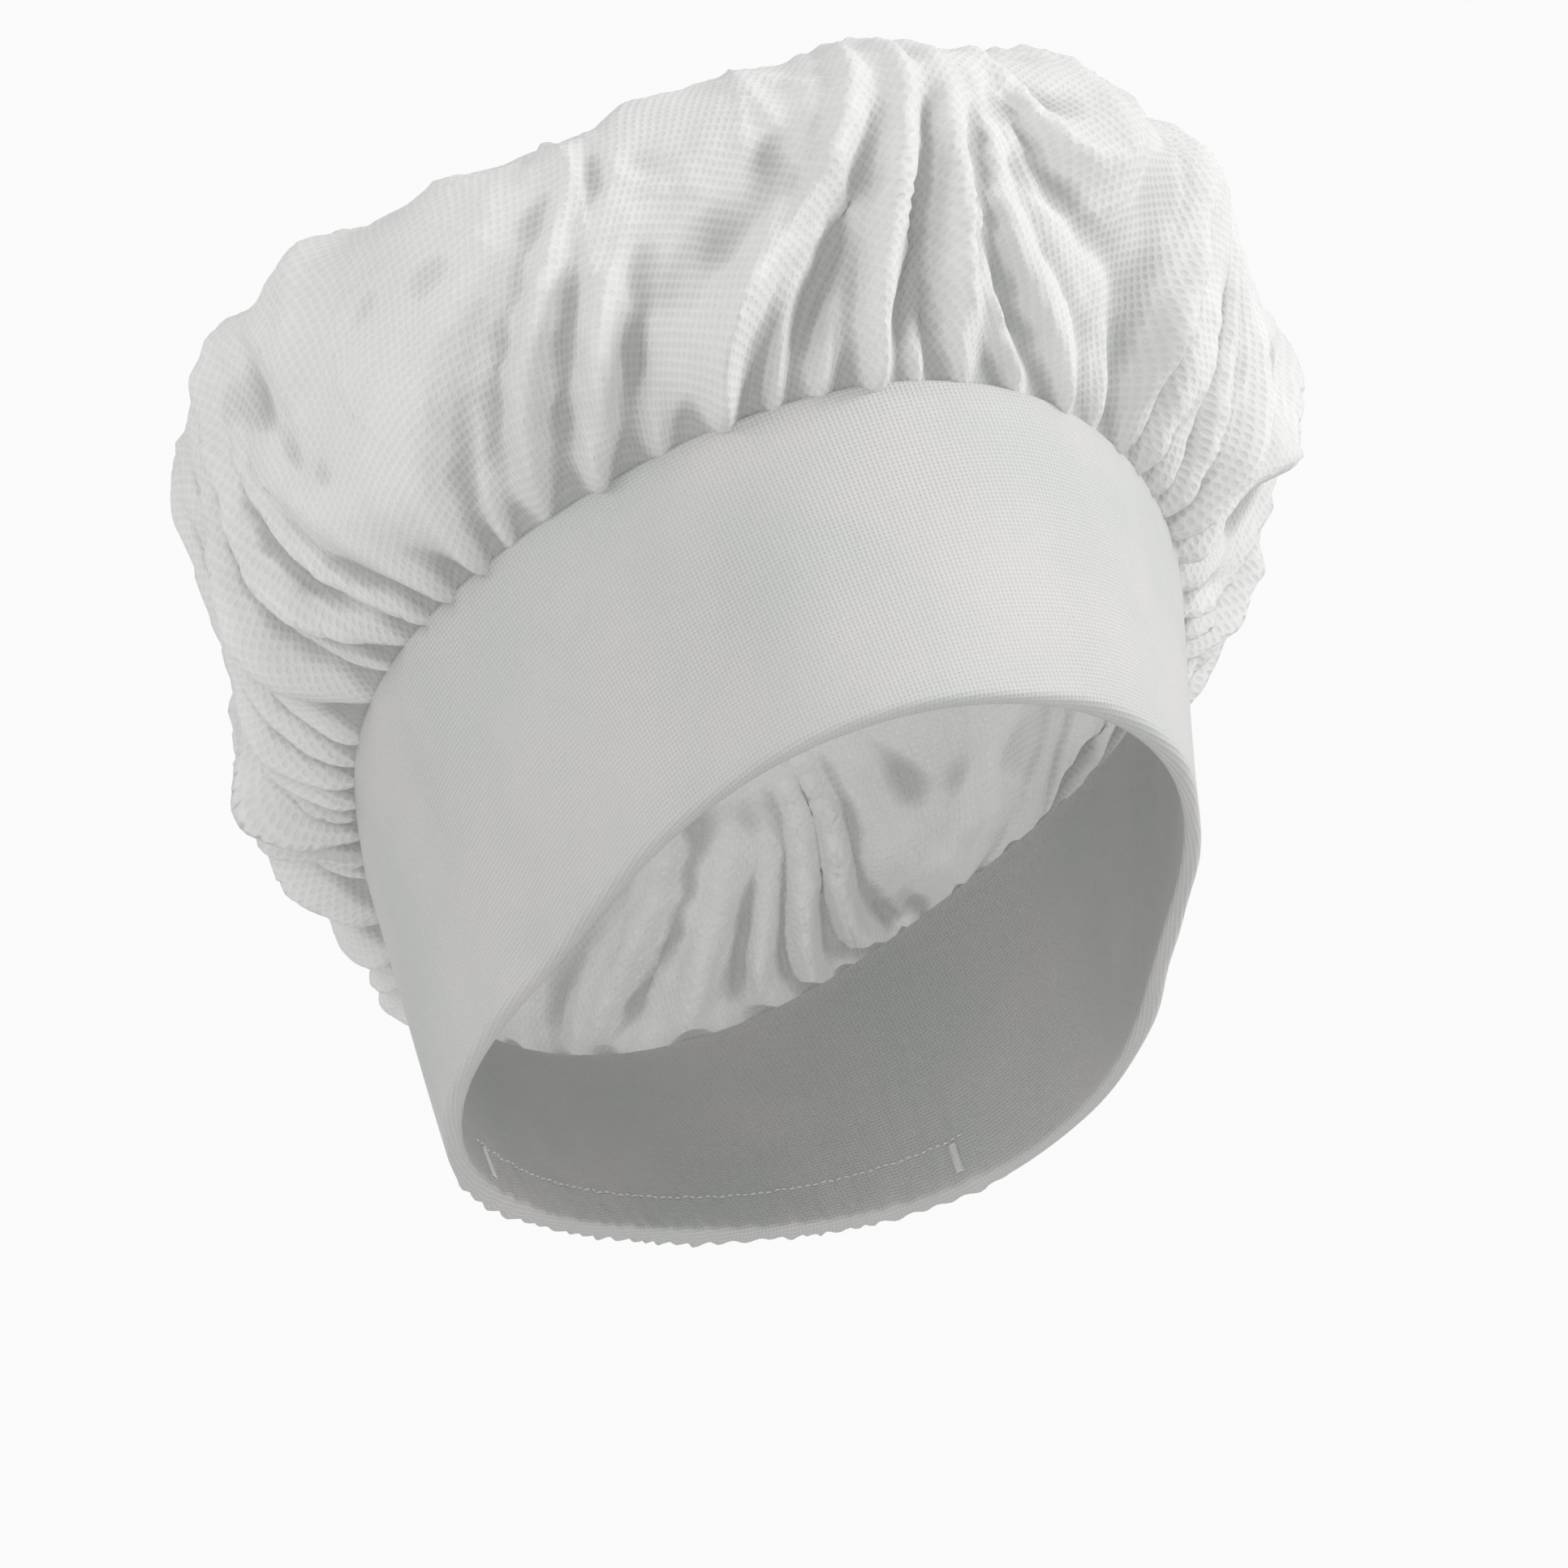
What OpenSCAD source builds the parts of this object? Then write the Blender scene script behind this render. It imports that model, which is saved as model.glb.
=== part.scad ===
// Mushroom chef toque: a puffed crown bag gathered into a deep folded headband, with an elastic at the back of the hem.
// Front is -Y, +Z runs up the band's axis, and the hem lies on z = 0.

/* [Headband] */
// Half the width of the head opening at the hem
hem_half_width = 75; // [70:0.5:80]
// Half the length of the head opening at the hem
hem_half_length = 96.5; // [90:0.5:102]
// Half the width of the band's top rim
rim_half_width = 87.5; // [84:0.5:92]
// Half the length of the band's top rim
rim_half_length = 112.5; // [108:0.5:118]
// Height of the folded band
band_h = 71.5; // [60:0.5:85]
// Depth of the folded band, from its outer face to its inner face
band_depth = 3.8; // [3.6:0.1:4.5]

/* [Crown] */
// Bulge of the crown towards the wearer's left
crown_left = 112; // [105:1:120]
// Bulge of the crown towards the wearer's right
crown_right = 130; // [122:1:138]
// Bulge of the crown towards the front
crown_front = 123; // [115:1:130]
// Bulge of the crown towards the back
crown_back = 135; // [120:1:145]
// Height of the crown's widest line above the hem
crown_waist_h = 134; // [125:1:140]
// Height of the crown's top above the hem
crown_top_h = 178; // [165:1:190]
// Sideways lean of the crown, towards the wearer's left
crown_lean_x = 11.5; // [0:0.5:15]
// Forward lean of the crown
crown_lean_y = 16; // [0:0.5:18]

/* [Elastic] */
// Width of the elastic braid
elastic_w = 8; // [5:0.5:12]
// Angle that the elastic spans round the back
elastic_span = 80; // [50:5:110]

/* [Hidden] */

ply = 0.6;               // thickness of one layer of nonwoven
steps = 96;              // divisions round the head
allowance = 8;           // the crown's gathered edge, held inside the band
crown_in = 1.6;          // how far inside the band's outer face the crown rises
thread_r = 0.25;
thread_in = 2.8;         // depth of the seam threads inside the band
waist_back_rise = 9;     // the crown's widest line is this much higher at the back than at the sides
lean_run = 60;           // height over which the crown takes up its lean
elastic_in = 1.8;
elastic_t = 0.9;
elastic_z = 3;
back = 90;               // angle of the centre back

// An egg-shaped ring: an ellipse whose radius swells by first, third and fourth harmonics
function egg(t, a, b, h1, h3, h4) =
    (1 + h1 * sin(t) + h3 * sin(3 * t) + h4 * cos(4 * t)) / sqrt(pow(cos(t) / a, 2) + pow(sin(t) / b, 2));
function hem_r(t) = egg(t, hem_half_width, hem_half_length, 0.02, 0.065, -0.03);
function rim_r(t) = egg(t, rim_half_width, rim_half_length, 0.017, -0.035, 0.03);
function band_r(t, z) = hem_r(t) + (rim_r(t) - hem_r(t)) * z / band_h;

// A point at angle t and height z, set inside the band's outer face by depth
function band_point(t, depth, z) = let (r = band_r(t, z) - depth) [r * cos(t), r * sin(t), z];

// The crown's profile: skin is 0 on the outside and ply on the inside, v runs 0 to 1 from the rim to the top
function smooth(x) = let (c = min(max(x, 0), 1)) c * c * (3 - 2 * c);
function bulge_r(t) = 1 / sqrt(pow(cos(t) / (cos(t) > 0 ? crown_left : crown_right), 2)
                               + pow(sin(t) / (sin(t) < 0 ? crown_front : crown_back), 2));
function waist_z(t) = crown_waist_h + waist_back_rise * sin(t);
function crown_point(t, v, skin, split = 0.4) =
    let (base_z = band_h + 0.4, neck_r = rim_r(t) - crown_in - skin, out_r = bulge_r(t) - skin,
         under = 90 * (1 - v / split), over = 90 * (v - split) / (1 - split),
         r = v < split ? neck_r + (out_r - neck_r) * cos(under) : out_r * cos(over),
         z = v < split ? waist_z(t) - (waist_z(t) - base_z) * sin(under)
                       : waist_z(t) + (crown_top_h - skin - waist_z(t)) * sin(over),
         lean = smooth((z - band_h) / lean_run))
    [r * cos(t) + crown_lean_x * lean, r * sin(t) - crown_lean_y * lean, z];

// Joins rows of points, each row a closed loop, into one closed solid whose rows also meet end to start
module ring_solid(rows) {
    n = len(rows);
    m = len(rows[0]);
    points = [for (row = rows) each row];
    faces = [for (i = [0 : n - 1], j = [0 : m - 1])
        let (a = i * m + j, b = i * m + (j + 1) % m, c = ((i + 1) % n) * m + (j + 1) % m, d = ((i + 1) % n) * m + j)
        each [[a, b, c], [a, c, d]]];
    polyhedron(points, faces);
}

// Joins the loops of a bar that has two ends
module bar_solid(rows) {
    n = len(rows);
    m = len(rows[0]);
    points = [for (row = rows) each row];
    sides = [for (i = [0 : n - 2], j = [0 : m - 1])
        let (a = i * m + j, b = i * m + (j + 1) % m, c = (i + 1) * m + (j + 1) % m, d = (i + 1) * m + j)
        each [[a, b, c], [a, c, d]]];
    start = [[for (j = [m - 1 : -1 : 0]) j]];
    end = [[for (j = [0 : m - 1]) (n - 1) * m + j]];
    polyhedron(points, concat(sides, start, end));
}

// A section of [depth, z] points swept all the way round the head
module band_sweep(section) {
    ring_solid([for (i = [0 : steps - 1]) [for (p = section) band_point(i * 360 / steps, p[0], p[1])]]);
}

// A section of [depth, z] points swept between two angles
module band_arc(section, from, to, count) {
    bar_solid([for (i = [0 : count]) [for (p = section) band_point(from + (to - from) * i / count, p[0], p[1])]]);
}

module crown() {
    rows = 20;
    top_v = 0.985;
    function loop(z_or_v, skin, in_skirt) = [for (i = [0 : steps / 2 - 1]) let (t = i * 720 / steps)
        in_skirt ? band_point(t, crown_in + skin, z_or_v) : crown_point(t, z_or_v, skin)];
    outer = [for (k = [0 : rows]) loop(k / rows * top_v, 0, false)];
    inner = [for (k = [rows : -1 : 0]) loop(k / rows * top_v, ply, false)];
    loops = concat([loop(band_h - allowance, 0, true)], outer, inner, [loop(band_h - allowance, ply, true)]);
    // the small holes at the two skins' tops are closed by fans to their centres
    m = steps / 2;
    n = len(loops);
    points = concat([for (row = loops) each row], [crown_point(0, 1, 0), crown_point(0, 1, ply)]);
    top_out = n * m;
    out_i = rows + 1;
    walls = [for (i = [0 : n - 1], j = [0 : m - 1]) if (i != out_i)
        let (k = (j + 1) % m, a = i * m + j, b = i * m + k, c = ((i + 1) % n) * m + k, d = ((i + 1) % n) * m + j)
        each [[a, c, b], [a, d, c]]];
    lids = [for (j = [0 : m - 1]) let (k = (j + 1) % m)
        each [[out_i * m + j, top_out, out_i * m + k], [(out_i + 1) * m + k, top_out + 1, (out_i + 1) * m + j]]];
    color("whitesmoke") polyhedron(points, concat(walls, lids));
}

// A straight run of section points at one depth, split so that the flared band's facets stay nearly flat
function climb(depth, from, to, parts = 7) = [for (k = [0 : parts]) [depth, from + (to - from) * k / parts]];

// One strip folded up at the hem, its outer ply rolled in over the rim
module headband() {
    roll = 1.3;
    inner_top = band_h - 2;
    corner = 0.8;
    outer_roll = [[0.4, band_h - 0.4], [roll - 0.4, band_h], [roll, band_h - 0.4], [0.9, band_h - 0.9]];
    color("white") band_sweep(concat(
        climb(0, corner, band_h - 1.6), outer_roll, climb(ply, band_h - 1.8, ply),
        climb(band_depth - ply, ply, inner_top), climb(band_depth, inner_top, corner),
        [[band_depth - corner, 0], [corner, 0]]));
}

// The stiffening layer that keeps the band upright
module interlining() {
    from = 0.75;
    to = 1.25;
    color("ghostwhite") band_sweep(concat(climb(from, 1.2, band_h - 2.4), climb(to, band_h - 2.4, 1.2)));
}

module rear_elastic() {
    to = elastic_in + elastic_t;
    color("ivory") band_arc([[elastic_in, elastic_z], [elastic_in, elastic_z + elastic_w],
                             [to, elastic_z + elastic_w], [to, elastic_z]],
                            back - elastic_span / 2, back + elastic_span / 2, 32);
}

// A four-sided thread that follows [angle, z] points inside the band, closed or with two ends
module thread(path, closed) {
    loops = [for (p = path) [for (s = [[-1, 0], [0, 1], [1, 0], [0, -1]])
        band_point(p[0], thread_in + s[0] * thread_r, p[1] + s[1] * thread_r)]];
    color("snow") if (closed) ring_solid(loops); else bar_solid(loops);
}

module gathering_thread() {
    thread([for (i = [0 : 143]) [i * 2.5, band_h - 7.2 + 0.25 * cos(i * 180)]], true);
}

// Overlock stitches: a zigzag between the raw edges and the seam line
module overlock_thread() {
    stitches = 180;
    thread([for (i = [0 : 2 * stitches - 1]) [i * 180 / stitches, band_h - 4.4 + 1.5 * cos(i * 180)]], true);
}

// Closes the strip's two ends at the centre back: it climbs the band, so its section lies across the climb
module back_seam_thread() {
    first = elastic_z + elastic_w + 3;
    last = band_h - 9;
    stitches = 28;
    sway = 0.5;                          // degrees to each side of the centre back
    half = thread_r / rim_half_length * 180 / PI; // the thread's radius as an angle
    color("snow") bar_solid([for (i = [0 : stitches])
        let (t = back + sway * cos(i * 180), z = first + (last - first) * i / stitches)
        [band_point(t, thread_in - thread_r, z), band_point(t - half, thread_in, z),
         band_point(t, thread_in + thread_r, z), band_point(t + half, thread_in, z)]]);
}

// Holds the elastic's top edge in its casing
module casing_thread() {
    stitches = 60;
    z = elastic_z + elastic_w + 1.2;
    thread([for (i = [0 : stitches]) [back - elastic_span / 2 + elastic_span * i / stitches, z + 0.4 * cos(i * 180)]],
           false);
}

// Dense stitches that anchor the elastic's two ends
module elastic_bar_tacks() {
    from = elastic_in + elastic_t + 0.05;
    to = from + 0.35;
    inset = 2;
    for (side = [-1, 1]) {
        t = back + side * (elastic_span / 2 - inset);
        color("snow") band_arc([[from, elastic_z + 0.5], [from, elastic_z + elastic_w - 0.5],
                                [to, elastic_z + elastic_w - 0.5], [to, elastic_z + 0.5]], t - 0.8, t + 0.8, 2);
    }
}

crown();
headband();
interlining();
rear_elastic();
gathering_thread();
overlock_thread();
back_seam_thread();
casing_thread();
elastic_bar_tacks();
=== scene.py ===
"""Mushroom chef toque: cloth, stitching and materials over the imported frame. Metres, +Z up the band, -Y the front."""

import math

import bpy
import numpy as np
from mathutils import Matrix, Vector, noise


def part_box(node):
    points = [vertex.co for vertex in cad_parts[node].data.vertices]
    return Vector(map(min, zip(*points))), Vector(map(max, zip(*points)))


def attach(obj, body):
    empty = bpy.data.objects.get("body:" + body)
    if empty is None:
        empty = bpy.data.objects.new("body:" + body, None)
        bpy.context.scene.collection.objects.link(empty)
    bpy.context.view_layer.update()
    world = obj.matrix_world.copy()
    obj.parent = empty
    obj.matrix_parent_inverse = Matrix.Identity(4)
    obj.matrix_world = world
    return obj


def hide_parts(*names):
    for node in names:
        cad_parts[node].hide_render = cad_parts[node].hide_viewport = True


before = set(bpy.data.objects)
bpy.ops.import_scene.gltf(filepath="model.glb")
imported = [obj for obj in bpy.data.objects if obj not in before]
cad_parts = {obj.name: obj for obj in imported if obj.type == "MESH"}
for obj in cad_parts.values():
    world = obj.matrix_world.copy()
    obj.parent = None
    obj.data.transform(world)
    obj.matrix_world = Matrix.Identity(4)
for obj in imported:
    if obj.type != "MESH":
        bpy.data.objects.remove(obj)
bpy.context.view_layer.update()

scene = bpy.context.scene
TAU = 2 * math.pi

# ---- the shape, from the same dimensions as the CAD ----
BAND_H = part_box("headband")[1][2]
CROWN_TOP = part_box("crown")[1][2]
BACK = math.pi / 2
CROWN_LEFT, CROWN_RIGHT, CROWN_FRONT, CROWN_BACK = 0.112, 0.130, 0.123, 0.135
WAIST_H, WAIST_RISE, LEAN, LEAN_RUN, SPLIT = 0.134, 0.009, np.array([0.0115, -0.016]), 0.060, 0.4
CROWN_IN = 0.0019  # the middle of the crown's ply, inside the band's outer face
ALLOWANCE = 0.008  # the gathered edge, held inside the band
DISC_R = 0.208  # the crown is cut as a disc of this radius
ELASTIC_HALF = math.radians(40)
CASING_H = 0.0122
# where the bag bulges or dips most: angle, distance up the cloth from the rim, width in degrees, span, height
LOBES = [(300, 0.110, 20, 0.028, 0.005), (262, 0.105, 14, 0.022, 0.002), (228, 0.100, 9, 0.045, -0.007),
         (204, 0.060, 20, 0.030, 0.005), (318, 0.100, 7, 0.035, -0.005), (275, 0.125, 45, 0.010, -0.006),
         (150, 0.050, 28, 0.035, -0.010), (185, 0.085, 16, 0.030, 0.003)]


def egg(t, a, b, h1, h3, h4):
    s = np.sin(t)
    return (1 + h1 * s + h3 * np.sin(3 * t) + h4 * np.cos(4 * t)) / np.sqrt((np.cos(t) / a) ** 2 + (s / b) ** 2)


def band_r(t, z):
    low = egg(t, 0.075, 0.0965, 0.02, 0.065, -0.03)
    return low + (egg(t, 0.0875, 0.1125, 0.017, -0.035, 0.03) - low) * z / BAND_H


def smooth(x):
    c = np.clip(x, 0, 1)
    return c * c * (3 - 2 * c)


def crown_point(t, v):
    """The smooth crown: v is 0 at the rim and 1 at the top."""
    c, s = np.cos(t), np.sin(t)
    out = 1 / np.sqrt((c / np.where(c > 0, CROWN_LEFT, CROWN_RIGHT)) ** 2
                      + (s / np.where(s < 0, CROWN_FRONT, CROWN_BACK)) ** 2)
    waist, neck = WAIST_H + WAIST_RISE * s, band_r(t, BAND_H) - CROWN_IN
    under = (1 - v / SPLIT) * math.pi / 2
    over = (v - SPLIT) / (1 - SPLIT) * math.pi / 2
    low = v < SPLIT
    r = np.where(low, neck + (out - neck) * np.cos(under), out * np.cos(over))
    z = np.where(low, waist - (waist - BAND_H) * np.sin(under), waist + (CROWN_TOP - waist) * np.sin(over))
    k = smooth((z - BAND_H) / LEAN_RUN)
    return np.stack([r * c + LEAN[0] * k, r * s + LEAN[1] * k, z], -1)


def new_object(name, verts, faces, node):
    """A smooth-shaded piece on the root body, shown in place of that CAD node."""
    mesh = bpy.data.meshes.new(name)
    mesh.from_pydata([tuple(map(float, v)) for v in verts], [], [tuple(map(int, f)) for f in faces])
    mesh.update()
    obj = bpy.data.objects.new(name, mesh)
    scene.collection.objects.link(obj)
    mesh.shade_smooth()
    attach(obj, "root")
    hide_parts(node)
    return obj


def set_uv(obj, flat):
    """Each corner's place on the flat cut, in metres, for the weave."""
    layer = obj.data.uv_layers.new(name="cloth")
    at = np.zeros(len(obj.data.loops), np.int32)
    obj.data.loops.foreach_get("vertex_index", at)
    layer.data.foreach_set("uv", np.asarray(flat, np.float32)[at].ravel())


# ---- crown: a disc gathered into the band, then relaxed for a few frames as cloth ----
SPACING = 0.0030  # between the disc's points
FRAMES = 12
TINY = 1e-9
# folds round the rim, as [count, random seed]
FINE_FOLDS, MID_FOLDS, WIDE_FOLDS = (64, 3), (29, 4), (14, 5)
FINE_LEAST, FINE_H, MID_H, WIDE_H = 0.0003, 0.0044, 0.0058, 0.0020  # their heights
FINE_RUN, MID_RUN = 0.022, 0.040  # how far up the cloth they run
FINE_MEAN_RUN, MID_MEAN_RUN, MEAN_WAVE = 0.024, 0.044, 0.85  # their mean height, taken off again
HELD = 0.0012  # points no further than this past the rim are held by the seam
# crumples and creases, as [height, noise scale, seed]
START_CRUMPLES = [(0.0022, 15, 1), (0.0009, 38, 2)]
FINE_CRUMPLES = [(0.00024, 100, 5), (0.00010, 220, 6)]
TOP_CRUMPLES = (0.0004, 45, 4)
CREASES = [(0.0015, 19, 7), (0.0009, 44, 8)]
SHARPEN_MOST = 0.0022  # the most that sharpening moves a point
HOLLOW_RANGE = 0.0036  # the depth of fold that spans the "hollow" attribute, which drives the crown's painted fold shade
AROUND, SOFTEN = 45, 8  # rounds of averaging: the cloth round about, and the painted fold shade


def disc(spacing):
    """A disc in rings, each ring with as many points as its length needs."""
    rings = int(round(DISC_R / spacing))
    rad, ang, start, counts = [], [], [], []
    for j in range(rings):
        rho = DISC_R * (1 - j / rings)
        n = max(6, int(round(TAU * rho / spacing)))
        start.append(len(rad))
        counts.append(n)
        rad += [rho] * n
        ang += list((np.arange(n) + 0.5 * (j % 2)) * TAU / n)
    faces = []
    for j in range(rings - 1):
        a0, n, b0, m = start[j], counts[j], start[j + 1], counts[j + 1]
        shift_a, shift_b = 0.5 * (j % 2) / n, 0.5 * ((j + 1) % 2) / m
        i = k = 0
        while i < n or k < m:
            if k >= m or (i < n and (i + 1) / n + shift_a <= (k + 1) / m + shift_b):
                faces.append((a0 + i % n, a0 + (i + 1) % n, b0 + k % m))
                i += 1
            else:
                faces.append((a0 + i % n, b0 + (k + 1) % m, b0 + k % m))
                k += 1
    centre = len(rad)
    rad.append(0.0)
    ang.append(0.0)
    last, n = start[-1], counts[-1]
    faces += [(last + i, last + (i + 1) % n, centre) for i in range(n)]
    return np.array(rad), np.array(ang), faces


def folds(t, count, seed, soft=False):
    """An irregular wave round the head, 0 between folds: folds of random width, height and length."""
    r = np.random.default_rng(seed)
    edges = np.concatenate([[0], np.cumsum(r.uniform(0.55, 1.6, count))])
    edges *= TAU / edges[-1]
    x = np.mod(t, TAU)
    i = np.clip(np.searchsorted(edges, x, "right") - 1, 0, count - 1)
    f = (x - edges[i]) / (edges[i + 1] - edges[i])
    height, length = r.uniform(0.55, 1.35, count), r.uniform(0.6, 1.6, count)
    tent = 1 - np.abs(2 * f - 1)
    wave = 1 - np.cos(TAU * f) if soft else 2.2 * tent**1.6  # a crisp ridge between two flat valleys
    return wave * height[i], length[i]


def ridged(points, scale, seed):
    """Sharp-edged crumples: 1 along the ridges, down to -0.5 on the flats between them."""
    off = Vector((seed * 3.7, seed * 1.3, seed * 5.1))
    return np.array([max(-0.5, 1 - 3.2 * abs(noise.noise(Vector(p) * scale + off))) for p in points])


def creases(points, scale, seed):
    """Thin raised lines, as in creased paper: 1 on a line and 0 between them."""
    off = Vector((seed * 2.9, seed * 4.3, seed * 0.7))
    return np.array([math.exp(-abs(noise.noise(Vector(p) * scale + off)) / 0.055) for p in points])


def gathered(rad, ang):
    """Places the disc over the crown's shape, with folds that take up the gathered length."""
    k = np.linspace(0, 1, 60)
    pts = crown_point(ang[:, None], k[None, :])
    low_r = band_r(ang, BAND_H - ALLOWANCE) - CROWN_IN  # the held edge follows the band's taper
    skirt = np.stack([low_r * np.cos(ang), low_r * np.sin(ang), 0 * ang + BAND_H - ALLOWANCE], 1)[:, None]
    line = np.concatenate([skirt, pts], axis=1)
    steps = np.linalg.norm(np.diff(line, axis=1), axis=2)
    along = np.concatenate([np.zeros((len(ang), 1)), np.cumsum(steps, axis=1)], 1)
    want = (1 - rad / DISC_R) * along[:, -1]
    i = np.clip((along <= want[:, None]).sum(1) - 1, 0, line.shape[1] - 2)
    row = np.arange(len(ang))
    f = ((want - along[row, i]) / np.maximum(along[row, i + 1] - along[row, i], TINY))[:, None]
    place = line[row, i] * (1 - f) + line[row, i + 1] * f
    up = line[row, i + 1] - line[row, i]
    side = np.stack([-np.sin(ang), np.cos(ang), 0 * ang], 1)
    out = np.cross(side, up)
    out /= np.maximum(np.linalg.norm(out, axis=1, keepdims=True), TINY)
    s = want - ALLOWANCE  # along the cloth from the rim
    slant = 2.6 * s * np.sin(4 * ang + 0.8) + 1.8 * s * np.sin(9 * ang + 2.1)
    fine, reach = folds(ang + 0.03 * np.sin(7 * ang) + slant, *FINE_FOLDS)
    mid, mid_reach = folds(ang + 0.05 * np.sin(5 * ang) + 1.4 * slant, *MID_FOLDS)
    wide, _ = folds(ang, *WIDE_FOLDS)
    rise = smooth((s + 0.002) / 0.008)

    def fine_height(span):
        return FINE_LEAST + FINE_H * rise * np.exp(-np.clip(s, 0, 1) / span)

    def mid_height(span):
        return MID_H * smooth((s - 0.002) / 0.022) * np.exp(-((np.clip(s - 0.012, 0, 1) / span) ** 2))

    a_wide = WIDE_H * smooth((s - 0.02) / 0.05) * smooth((rad - 0.02) / 0.08)
    # crumples run along the gathers near the rim and any way on the top
    cut = np.stack([rad * np.cos(ang), rad * np.sin(ang), s * 0.4], 1)
    crumple = sum(h * ridged(cut, scale, seed) for h, scale, seed in START_CRUMPLES) * smooth((s - 0.012) / 0.04)
    push = fine * fine_height(FINE_RUN * reach) + mid * mid_height(MID_RUN * mid_reach) + wide * a_wide + crumple
    mean = MEAN_WAVE * (fine_height(FINE_MEAN_RUN) + mid_height(MID_MEAN_RUN) + a_wide)
    push = push - mean - 0.0035 * smooth((s - 0.02) / 0.05)
    for at, reach_s, width, span, lift in LOBES:
        turn = np.mod(ang - math.radians(at) + math.pi, TAU) - math.pi
        push = push + lift * np.exp(-((turn / math.radians(width)) ** 2) - ((s - reach_s) / span) ** 2)
    return place + out * push[:, None], s


def settle(obj, flat, pins, frames):
    """Runs the cloth, without gravity, from the start shape towards its flat cut's lengths, and applies it."""
    obj.shape_key_add(name="Basis")
    key = obj.shape_key_add(name="cut")
    key.data.foreach_set("co", np.asarray(flat, np.float32).ravel())
    key.value = 0
    group = obj.vertex_groups.new(name="held")
    for i, w in pins:
        group.add([int(i)], w, "REPLACE")
    mod = obj.modifiers.new("Cloth", "CLOTH")
    c = mod.settings
    c.quality, c.mass = 6, 0.004
    c.tension_stiffness, c.compression_stiffness = 14, 5
    c.shear_stiffness, c.bending_stiffness = 6, 0.02
    c.tension_damping = c.compression_damping = c.shear_damping = 5
    c.bending_damping, c.air_damping = 0.2, 3.0
    c.vertex_group_mass = "held"
    c.rest_shape_key = key
    c.effector_weights.gravity = 0
    mod.collision_settings.use_collision = False
    mod.collision_settings.use_self_collision = False
    mod.point_cache.frame_start, mod.point_cache.frame_end = 1, frames
    scene.frame_start, scene.frame_end = 1, frames
    for f in range(1, frames + 1):
        scene.frame_set(f)
    ev = obj.evaluated_get(bpy.context.evaluated_depsgraph_get())
    co = np.zeros(len(obj.data.vertices) * 3, np.float32)
    ev.data.vertices.foreach_get("co", co)
    obj.modifiers.remove(mod)
    obj.shape_key_clear()
    obj.vertex_groups.clear()
    obj.data.vertices.foreach_set("co", co)
    obj.data.update()
    scene.frame_set(1)


rad, ang, faces = disc(SPACING)
start, along = gathered(rad, ang)
flat = np.stack([rad * np.cos(ang), rad * np.sin(ang), 0 * rad], 1)
crown = new_object("crown_bag", start, faces, "crown")
set_uv(crown, flat[:, :2])
pins = [(i, 1.0) for i in np.nonzero(along < HELD)[0]]
settle(crown, flat, pins, FRAMES)


def averaged(co, ends, times):
    """The values at the points after that many rounds of moving over halfway to their neighbours' mean."""
    both = np.concatenate([ends, ends[:, ::-1]])
    near = np.bincount(both[:, 0], minlength=len(co))[:, None]
    for _ in range(times):
        sums = [np.bincount(both[:, 0], co[both[:, 1], k], len(co)) for k in range(co.shape[1])]
        mean = np.stack(sums, 1) / near
        co = 0.4 * co + 0.6 * mean
    return co


def refine(obj):
    """Subdivides once, sharpens the folds, adds crumples and creases, and records how hollow each point is, for the
    painted shade in the folds.
    """
    sub = obj.modifiers.new("Fine", "SUBSURF")
    sub.levels = sub.render_levels = 1
    sub.uv_smooth = "NONE"
    fine = bpy.data.meshes.new_from_object(obj.evaluated_get(bpy.context.evaluated_depsgraph_get()))
    obj.modifiers.remove(sub)
    obj.data = fine
    count = len(fine.vertices)
    co, no = np.zeros(count * 3, np.float32), np.zeros(count * 3, np.float32)
    ends = np.zeros(len(fine.edges) * 2, np.int32)
    fine.vertices.foreach_get("co", co)
    fine.vertices.foreach_get("normal", no)
    fine.edges.foreach_get("vertices", ends)
    co, no, ends = co.reshape(-1, 3).astype(float), no.reshape(-1, 3), ends.reshape(-1, 2)
    free = smooth((co[:, 2] - BAND_H - 0.0015) / 0.010)[:, None]
    detail = co - averaged(co, ends, 5)
    size = np.linalg.norm(detail, axis=1, keepdims=True)
    co += free * detail * np.minimum(1, SHARPEN_MOST / np.maximum(size, TINY))
    stretch = co * np.array([1, 1, 0.5])
    calm = 1 - 0.7 * smooth((co[:, 2] - 0.125) / 0.035)  # the top is pulled smooth
    height, scale, seed = TOP_CRUMPLES
    push = height * calm * ridged(stretch, scale, seed)
    for height, scale, seed in FINE_CRUMPLES:
        push += height * ridged(stretch, scale, seed)
    lines = sum(h * creases(stretch, scale, seed) for h, scale, seed in CREASES)
    push += lines * smooth((co[:, 2] - BAND_H) / 0.03)
    co += no * push[:, None] * free
    hollow = ((averaged(co, ends, AROUND) - co) * no).sum(1, keepdims=True)
    hollow = averaged(hollow, ends, SOFTEN)[:, 0] * calm  # small dimples fade, long folds stay; the painted shade is weaker on the smooth top
    # fold depth kept for the crown material's painted shade
    layer = fine.attributes.new("hollow", "FLOAT", "POINT")
    layer.data.foreach_set("value", np.clip(0.5 + hollow / HOLLOW_RANGE, 0, 1).astype(np.float32))
    fine.vertices.foreach_set("co", co.astype(np.float32).ravel())
    fine.shade_smooth()
    fine.update()


refine(crown)


# ---- headband: one strip, rolled in over the rim, folded at the hem and up again inside ----
ROUND = 540  # points round the band
ROLL_DEPTH, ROLL_H = 0.0009, 0.0012  # of the roll over the rim
HEM_DEPTH, HEM_H = 0.0019, 0.0011  # half the band's depth at the hem fold, and the fold's height
STRIP_L = 0.60  # the strip's cut length
RUCHES = (120, 7)  # [count, random seed] of the folds over the elastic
RUCHE_H, LAP_H = 0.0008, 0.0005


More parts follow.
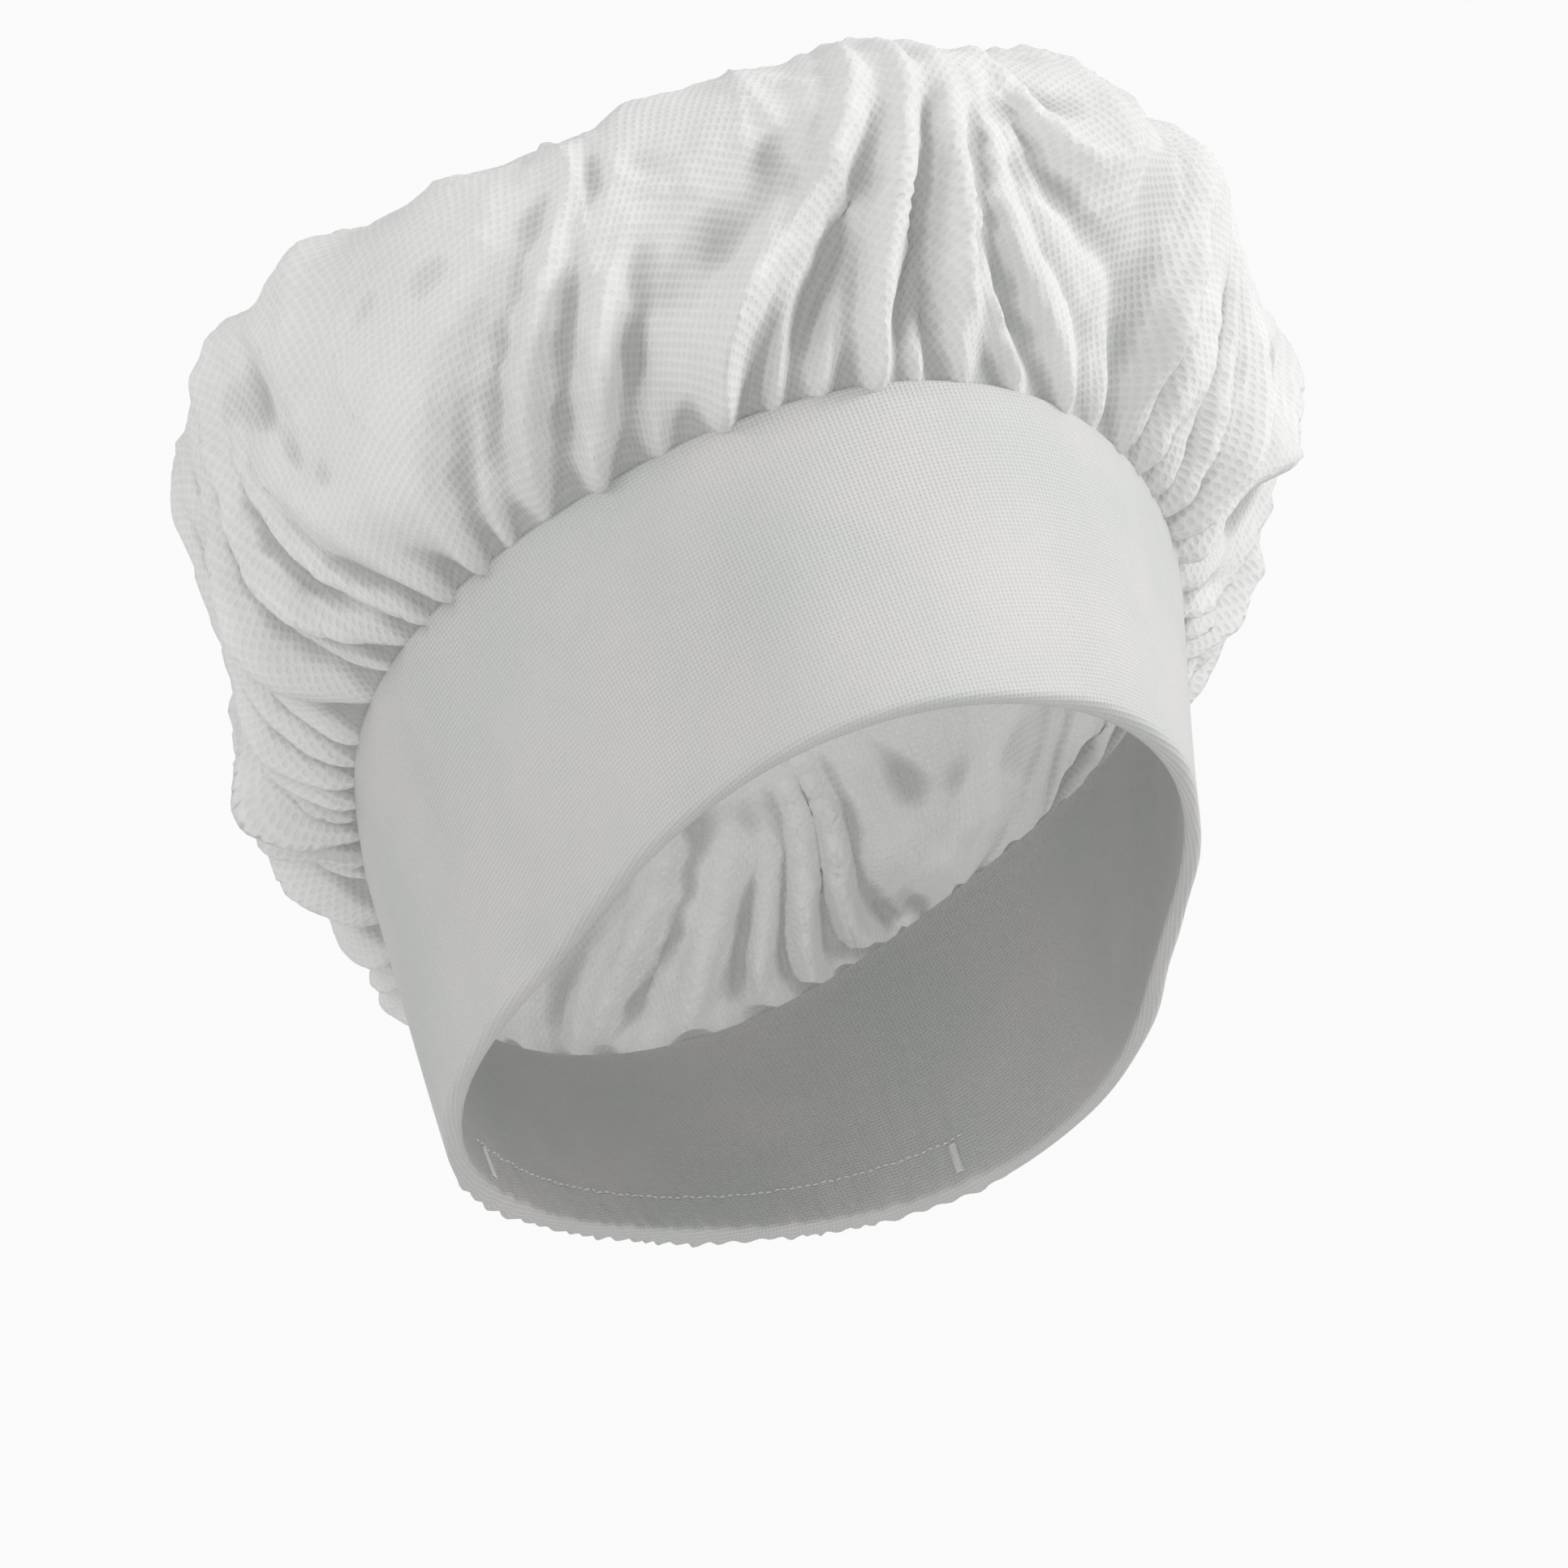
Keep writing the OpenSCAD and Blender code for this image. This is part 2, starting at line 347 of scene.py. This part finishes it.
def elastic_pull(t, z):
    """How strongly the elastic gathers the band here."""
    a = np.abs(np.mod(t - BACK + math.pi, TAU) - math.pi)
    return smooth((ELASTIC_HALF + 0.12 - a) / 0.16) * (0.25 + 0.75 * smooth((0.034 - z) / 0.026))


def band_surface(t, depth, z, inner):
    wave = (0.00045 + 0.0003 * np.sin(5 * t + 1.1) + 0.00025 * np.sin(9 * t + 40 * z)
            + 0.0002 * np.sin(17 * t - 90 * z)) * (1 - inner)
    fine, _ = folds(t, *RUCHES, soft=True)
    ruche = RUCHE_H * (fine + 0.3) * elastic_pull(t, z)
    limit = 1 - 1.4 * inner
    past = t - BACK  # the strip's end laps over its start at the back
    lap = LAP_H * smooth(past / 0.012) * smooth((0.14 - past) / 0.13) * (1 - inner)
    below_rim = smooth((BAND_H - z + 0.002) / 0.012)
    r = band_r(t, np.clip(z, 0, BAND_H)) - depth + lap + (wave + ruche * limit) * below_rim
    return np.stack([r * np.cos(t), r * np.sin(t), z + 0 * t], -1)


def strip_path():
    """[depth, height, inner, width on the strip] down the outer ply, round the hem and up the inner ply."""
    out = []
    for a in np.radians([-50, -20, 15, 50, 90, 125, 160, 180]):  # the roll over the rim
        out.append((ROLL_DEPTH + ROLL_DEPTH * np.cos(a), BAND_H - ROLL_H + ROLL_H * np.sin(a), 0))
    for z in np.linspace(BAND_H - 0.004, 0.0016, 34):
        out.append((0.0, z, 0))
    for a in np.radians([15, 40, 65, 90, 115, 140, 165]):
        out.append((HEM_DEPTH - HEM_DEPTH * np.cos(a), HEM_H - HEM_H * np.sin(a), a / math.pi))
    for z in np.linspace(0.0016, BAND_H - 0.002, 24):
        out.append((2 * HEM_DEPTH, z, 1))
    return np.array(out)


path = strip_path()
ts = np.arange(ROUND) * TAU / ROUND
rows = [band_surface(ts, d, z, i) for d, z, i in path]
verts = np.concatenate(rows)
faces = [(i * ROUND + j, (i + 1) * ROUND + j, (i + 1) * ROUND + (j + 1) % ROUND, i * ROUND + (j + 1) % ROUND)
         for i in range(len(path) - 1) for j in range(ROUND)]
band = new_object("headband_strip", verts, faces, "headband")
run = np.concatenate([[0], np.cumsum(np.hypot(*np.diff(path[:, :2], axis=0).T))])
layer = band.data.uv_layers.new(name="cloth")
loop_v = np.zeros(len(band.data.loops), np.int32)
band.data.loops.foreach_get("vertex_index", loop_v)
u = (loop_v % ROUND) / ROUND
corner = u.reshape(-1, 4)
corner[(corner.max(1) - corner.min(1) > 0.5)[:, None] & (corner < 0.5)] += 1  # faces across the join
uv = np.stack([corner.ravel() * STRIP_L, run[loop_v // ROUND]], 1)
layer.data.foreach_set("uv", uv.astype(np.float32).ravel())


# ---- stitches ----
SIDES = 6
STITCH_SECTION = [(0, 0.25), (0.12, 0.8), (0.35, 1), (0.65, 1), (0.88, 0.8), (1, 0.25)]  # [along, thickness]
INNER_DEPTH = 0.0039  # just inside the inner ply
CASING_STITCHES, TACK_STITCHES = 72, 16
CASING_R, TACK_R = 0.00022, 0.00024
TACK_LOW, TACK_RISE, TACK_HALF = 0.0036, 0.0072, 0.012


def stitches(name, points, normals, radius, node):
    """Short raised stitches between pairs of points: each is a slim capsule that bows out of the cloth."""
    verts, faces = [], []
    for (a, b), n in zip(points, normals):
        along_v = (b - a) / np.linalg.norm(b - a)
        side = np.cross(along_v, n)
        base = len(verts)
        for f, w in STITCH_SECTION:
            c = a + (b - a) * f + n * radius * 1.2 * math.sin(math.pi * f)
            verts += [c + radius * w * (math.cos(q) * side + math.sin(q) * n) for q in np.arange(SIDES) * TAU / SIDES]
        last = len(STITCH_SECTION) - 1
        for k in range(last):
            low, high = base + k * SIDES, base + (k + 1) * SIDES
            for j in range(SIDES):
                faces.append((low + j, low + (j + 1) % SIDES, high + (j + 1) % SIDES, high + j))
        faces.append(tuple(base + j for j in reversed(range(SIDES))))
        faces.append(tuple(base + last * SIDES + j for j in range(SIDES)))
    return new_object(name, verts, faces, node)


def inner_face(t, z):
    return band_surface(np.array([t]), INNER_DEPTH, z, 1)[0]


pairs, outs = [], []
for i in range(CASING_STITCHES):
    t0, t1 = (BACK - ELASTIC_HALF + 2 * ELASTIC_HALF * (i + g) / CASING_STITCHES for g in (0.14, 0.86))
    pairs.append((inner_face(t0, CASING_H), inner_face(t1, CASING_H)))
    outs.append(np.array([-math.cos(t0), -math.sin(t0), 0]))
stitches("casing_stitches", pairs, outs, CASING_R, "casing_thread")

pairs, outs = [], []
for sign in (-1, 1):
    t = BACK + sign * (ELASTIC_HALF - 0.035)
    for i in range(TACK_STITCHES):
        z = TACK_LOW + TACK_RISE * i / (TACK_STITCHES - 1)
        pairs.append((inner_face(t - TACK_HALF, z), inner_face(t + TACK_HALF, z + 0.0003)))
        outs.append(np.array([-math.cos(t), -math.sin(t), 0]))
stitches("bar_tack_stitches", pairs, outs, TACK_R, "elastic_bar_tacks")


# ---- materials ----
# the third grey is painted shade for the crown's fold hollows
FIBRE_GREY, DOT_GREY, PAINTED_SHADE_GREY = (0.55, 0.56, 0.55, 1), (0.34, 0.35, 0.34, 1), (0.47, 0.48, 0.47, 1)
FLAT_DOTS, PAINTED_SHADE_DOTS = 0.14, 0.85  # how plainly the bond points show on the flats, and how much more darkly in the hollows as painted shade


class Nodes:
    """Short ways to add shader nodes to one material."""

    def __init__(self, name):
        self.mat = bpy.data.materials.new(name)
        self.mat.use_nodes = True
        self.tree = self.mat.node_tree
        self.tree.nodes.clear()

    def add(self, kind, values=None, **props):
        n = self.tree.nodes.new(kind)
        for k, v in props.items():
            setattr(n, k, v)
        for k, v in (values or {}).items():
            if isinstance(v, bpy.types.NodeSocket):
                self.tree.links.new(v, n.inputs[k])
            else:
                n.inputs[k].default_value = v
        return n

    def math(self, op, a, b):
        return self.add("ShaderNodeMath", {0: a, 1: b}, operation=op).outputs[0]

    def noise(self, vector, scale, detail=3.0, rough=0.5):
        values = {"Vector": vector, "Scale": scale, "Detail": detail, "Roughness": rough}
        return self.add("ShaderNodeTexNoise", values).outputs["Fac"]

    def span(self, value, lo, hi, to_lo=0.0, to_hi=1.0):
        values = {"Value": value, "From Min": lo, "From Max": hi, "To Min": to_lo, "To Max": to_hi}
        return self.add("ShaderNodeMapRange", values).outputs["Result"]

    def mix(self, fac, a, b):
        n = self.add("ShaderNodeMix", {0: fac}, data_type="RGBA")
        for key, v in (("A", a), ("B", b)):
            s = [i for i in n.inputs if i.name == key and i.type == "RGBA"][0]
            if isinstance(v, bpy.types.NodeSocket):
                self.tree.links.new(v, s)
            else:
                s.default_value = v
        return [o for o in n.outputs if o.type == "RGBA"][0]


def points_on_cloth(n, pitch, turn, size):
    """1 on each bond point of a square grid turned on the cloth, and 0 between."""
    uv = n.add("ShaderNodeUVMap", uv_map="cloth").outputs["UV"]
    m = n.add("ShaderNodeMapping", {"Vector": uv, "Rotation": (0, 0, math.radians(turn)), "Scale": (1 / pitch,) * 3})
    f = n.add("ShaderNodeVectorMath", {0: m.outputs[0]}, operation="FRACTION").outputs[0]
    d = n.add("ShaderNodeVectorMath", {0: f, 1: (0.5, 0.5, 0)}, operation="SUBTRACT").outputs[0]
    flat_d = n.add("ShaderNodeVectorMath", {0: d, 1: (1, 1, 0)}, operation="MULTIPLY").outputs[0]
    long = n.add("ShaderNodeVectorMath", {0: flat_d}, operation="LENGTH").outputs["Value"]
    return n.span(long, size, size * 0.45), uv


def nonwoven(name, tint, pitch, turn, size, dark, through, thin, bump, shade):
    """Point-bonded nonwoven: soft fibres, pressed bond points that let more light through. With shade, the fold hollows
    get painted shade: greyer cloth and darker bond points.
    """
    n = Nodes(name)
    dots, uv = points_on_cloth(n, pitch, turn, size)
    fibre = n.noise(n.add("ShaderNodeMapping", {"Vector": uv, "Scale": (1.0, 1.6, 1.0)}).outputs[0], 1500, 4, 0.6)
    cloud = n.noise(uv, 28, 3, 0.55)
    shown = n.span(n.noise(uv, 17, 2, 0.5), 0.38, 0.62, 0.25, 1.0)
    if shade:
        hollow = n.add("ShaderNodeAttribute", attribute_name="hollow").outputs["Fac"]
        # painted shade mask: 0 on ridges and flats, 1 in the deepest fold hollows
        fold_shade_mask = n.span(hollow, 0.49, 0.74)
        # bond points darken with fold depth: painted shade over the real dot pattern
        shown = n.math("ADD", n.math("MULTIPLY", shown, FLAT_DOTS), n.math("MULTIPLY", fold_shade_mask, PAINTED_SHADE_DOTS))
    tone = n.mix(n.span(cloud, 0.35, 0.65), (*tint[0], 1), (*tint[1], 1))
    tone = n.mix(n.span(fibre, 0.3, 0.75, 0, 0.10), tone, FIBRE_GREY)
    # bond points grey; on the crown, darker in the fold hollows as painted shade
    tone = n.mix(n.math("MULTIPLY", n.math("MULTIPLY", dots, dark), shown), tone, DOT_GREY)
    if shade:
        # painted shade: the fold hollows are greyed, standing in for the shaded inside that shows through the real,
        # thinner cloth
        tone = n.mix(n.math("MULTIPLY", fold_shade_mask, shade), tone, PAINTED_SHADE_GREY)
    height = n.math("SUBTRACT", n.math("MULTIPLY", fibre, 0.35), n.math("MULTIPLY", dots, 0.8))
    normal = n.add("ShaderNodeBump", {"Height": height, "Strength": bump, "Distance": 0.0003}).outputs[0]
    body = n.add("ShaderNodeBsdfPrincipled", {"Base Color": tone, "Roughness": 0.82, "Normal": normal,
                                              "Sheen Weight": 0.08, "Specular IOR Level": 0.25})
    back = n.add("ShaderNodeBsdfTranslucent", {"Color": tone, "Normal": normal})
    cloth = n.add("ShaderNodeMixShader", {0: through, 1: body.outputs[0], 2: back.outputs[0]})
    clear = n.add("ShaderNodeBsdfTransparent")
    gap = n.math("ADD", n.math("MULTIPLY", dots, thin), thin * 0.18)
    see = n.add("ShaderNodeMixShader", {0: gap, 1: cloth.outputs[0], 2: clear.outputs[0]})
    n.add("ShaderNodeOutputMaterial", {"Surface": see.outputs[0]})
    return n.mat


def thread_material(name, colour, scale):
    n = Nodes(name)
    at = n.add("ShaderNodeTexCoord").outputs["Object"]
    values = {"Vector": at, "Scale": scale, "Distortion": 2.0, "Detail": 2.0}
    twist = n.add("ShaderNodeTexWave", values).outputs["Fac"]
    tone = n.mix(twist, (*[c * 0.8 for c in colour], 1), (*colour, 1))
    normal = n.add("ShaderNodeBump", {"Height": twist, "Strength": 0.4, "Distance": 0.0002}).outputs[0]
    values = {"Base Color": tone, "Roughness": 0.7, "Normal": normal, "Sheen Weight": 0.1}
    body = n.add("ShaderNodeBsdfPrincipled", values)
    n.add("ShaderNodeOutputMaterial", {"Surface": body.outputs[0]})
    return n.mat


crown_mat = nonwoven("crown_nonwoven", ((0.75, 0.755, 0.745), (0.83, 0.825, 0.82)), pitch=0.00185, turn=45,
                     size=0.44, dark=0.56, through=0.26, thin=0.05, bump=0.6, shade=0.85)
band_mat = nonwoven("band_nonwoven", ((0.625, 0.645, 0.62), (0.69, 0.67, 0.665)), pitch=0.0009, turn=6,
                    size=0.42, dark=0.22, through=0.18, thin=0.0, bump=0.7, shade=0)
thread_mat = thread_material("spun_thread", (0.88, 0.88, 0.87), 900)
elastic_mat = thread_material("elastic_braid", (0.84, 0.83, 0.80), 500)


def dress(obj, mat):
    obj.data.materials.clear()
    obj.data.materials.append(mat)


dress(crown, crown_mat)
dress(band, band_mat)
for name, mat in (("casing_stitches", thread_mat), ("bar_tack_stitches", thread_mat)):
    dress(bpy.data.objects[name], mat)
plain_mat = thread_material("interlining_felt", (0.84, 0.84, 0.84), 300)
for node, mat in (("interlining", plain_mat), ("rear_elastic", elastic_mat), ("gathering_thread", thread_mat),
                  ("overlock_thread", thread_mat), ("back_seam_thread", thread_mat)):
    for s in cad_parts[node].material_slots:
        s.material = mat

# ---- floor: seen only from above, so that a camera below the hem still sees the hat ----
STUDIO_WHITE, STUDIO_LIGHT = 0.96, 0.78  # as the camera sees it, and as it lights the hat
PAPER_R, FADE_R, FLOOR_HALF = 0.25, 0.9, 4  # plain paper to here, studio white from here, and the edge
mesh = bpy.data.meshes.new("floor")
corners = [(x * FLOOR_HALF, y * FLOOR_HALF, 0) for x, y in ((-1, -1), (1, -1), (1, 1), (-1, 1))]
mesh.from_pydata(corners, [], [(0, 1, 2, 3)])
floor = bpy.data.objects.new("floor", mesh)
scene.collection.objects.link(floor)
n = Nodes("floor_paper")
back_face = n.add("ShaderNodeNewGeometry").outputs["Backfacing"]
unseen = n.math("SUBTRACT", 1.0, n.add("ShaderNodeLightPath").outputs["Is Camera Ray"])
paper = n.add("ShaderNodeBsdfDiffuse", {"Color": (0.66, 0.66, 0.65, 1)})
away = n.add("ShaderNodeVectorMath", {0: n.add("ShaderNodeTexCoord").outputs["Object"]}, operation="LENGTH")
glow = n.add("ShaderNodeEmission", {"Color": (1, 1, 1, 1), "Strength": STUDIO_WHITE})
far = n.span(away.outputs["Value"], PAPER_R, FADE_R)
fade = n.add("ShaderNodeMixShader", {0: far, 1: paper.outputs[0], 2: glow.outputs[0]})
see = n.add("ShaderNodeMixShader", {0: n.math("MAXIMUM", back_face, unseen), 1: fade.outputs[0],
                                    2: n.add("ShaderNodeBsdfTransparent").outputs[0]})
n.add("ShaderNodeOutputMaterial", {"Surface": see.outputs[0]})
dress(floor, n.mat)

# ---- camera: in front of the wearer's right temple, looking up under the hem ----
AZIMUTH, ELEVATION, ROLL = (math.radians(a) for a in (-30.563, -34.285, -17.592))
DISTANCE, VIEW_W, SENSOR = 1.5, 0.322, 36.0
AIM_RIGHT, AIM_UP = -0.0131, 0.0429
flat_run = math.cos(ELEVATION)
back_v = Vector((math.sin(AZIMUTH) * flat_run, -math.cos(AZIMUTH) * flat_run, math.sin(ELEVATION)))
level = Vector((0, 0, 1)).cross(back_v).normalized()
upright = back_v.cross(level)
right_v = level * math.cos(ROLL) + upright * math.sin(ROLL)
up_v = back_v.cross(right_v)
cam = bpy.data.objects.new("camera", bpy.data.cameras.new("camera"))
scene.collection.objects.link(cam)
cam.data.sensor_width = SENSOR
cam.data.lens = SENSOR * DISTANCE / VIEW_W
aim = right_v * AIM_RIGHT + up_v * AIM_UP
place = aim + back_v * DISTANCE
cam.matrix_world = Matrix.Translation(place) @ Matrix((right_v, up_v, back_v)).transposed().to_4x4()
scene.camera = cam

# ---- light: a white studio, the key high on the camera's right ----
LIT_POINT = Vector((0, 0, 0.1))
world = bpy.data.worlds.new("studio")
scene.world = world
world.use_nodes = True
wt = world.node_tree
wt.nodes.clear()
seen, lit = wt.nodes.new("ShaderNodeBackground"), wt.nodes.new("ShaderNodeBackground")
seen.inputs[0].default_value = (1, 1, 1, 1)
seen.inputs[1].default_value = STUDIO_WHITE
lit.inputs[0].default_value = (1, 1, 1, 1)
lit.inputs[1].default_value = STUDIO_LIGHT
ray, blend, out = (wt.nodes.new("ShaderNode" + k) for k in ("LightPath", "MixShader", "OutputWorld"))
wt.links.new(ray.outputs["Is Camera Ray"], blend.inputs[0])
wt.links.new(lit.outputs[0], blend.inputs[1])
wt.links.new(seen.outputs[0], blend.inputs[2])
wt.links.new(blend.outputs[0], out.inputs[0])


def lamp(name, place, size, power):
    light = bpy.data.lights.new(name, "AREA")
    light.shape, light.size, light.energy = "DISK", size, power
    obj = bpy.data.objects.new(name, light)
    obj.location = place
    obj.rotation_euler = (LIT_POINT - obj.location).to_track_quat("-Z", "Y").to_euler()
    scene.collection.objects.link(obj)


lamp("key", LIT_POINT + (right_v * 1.15 + up_v * 0.7 + back_v * 0.25) * 1.1, 0.5, 14)
lamp("fill", LIT_POINT + (right_v * -0.9 + up_v * 0.5 + back_v * 0.7) * 1.3, 0.8, 5)
lamp("front", back_v * 1.5, 0.8, 3)
lamp("rear", Vector((0.5, 1.0, 0.7)), 0.9, 5)
scene.view_settings.view_transform = "Standard"
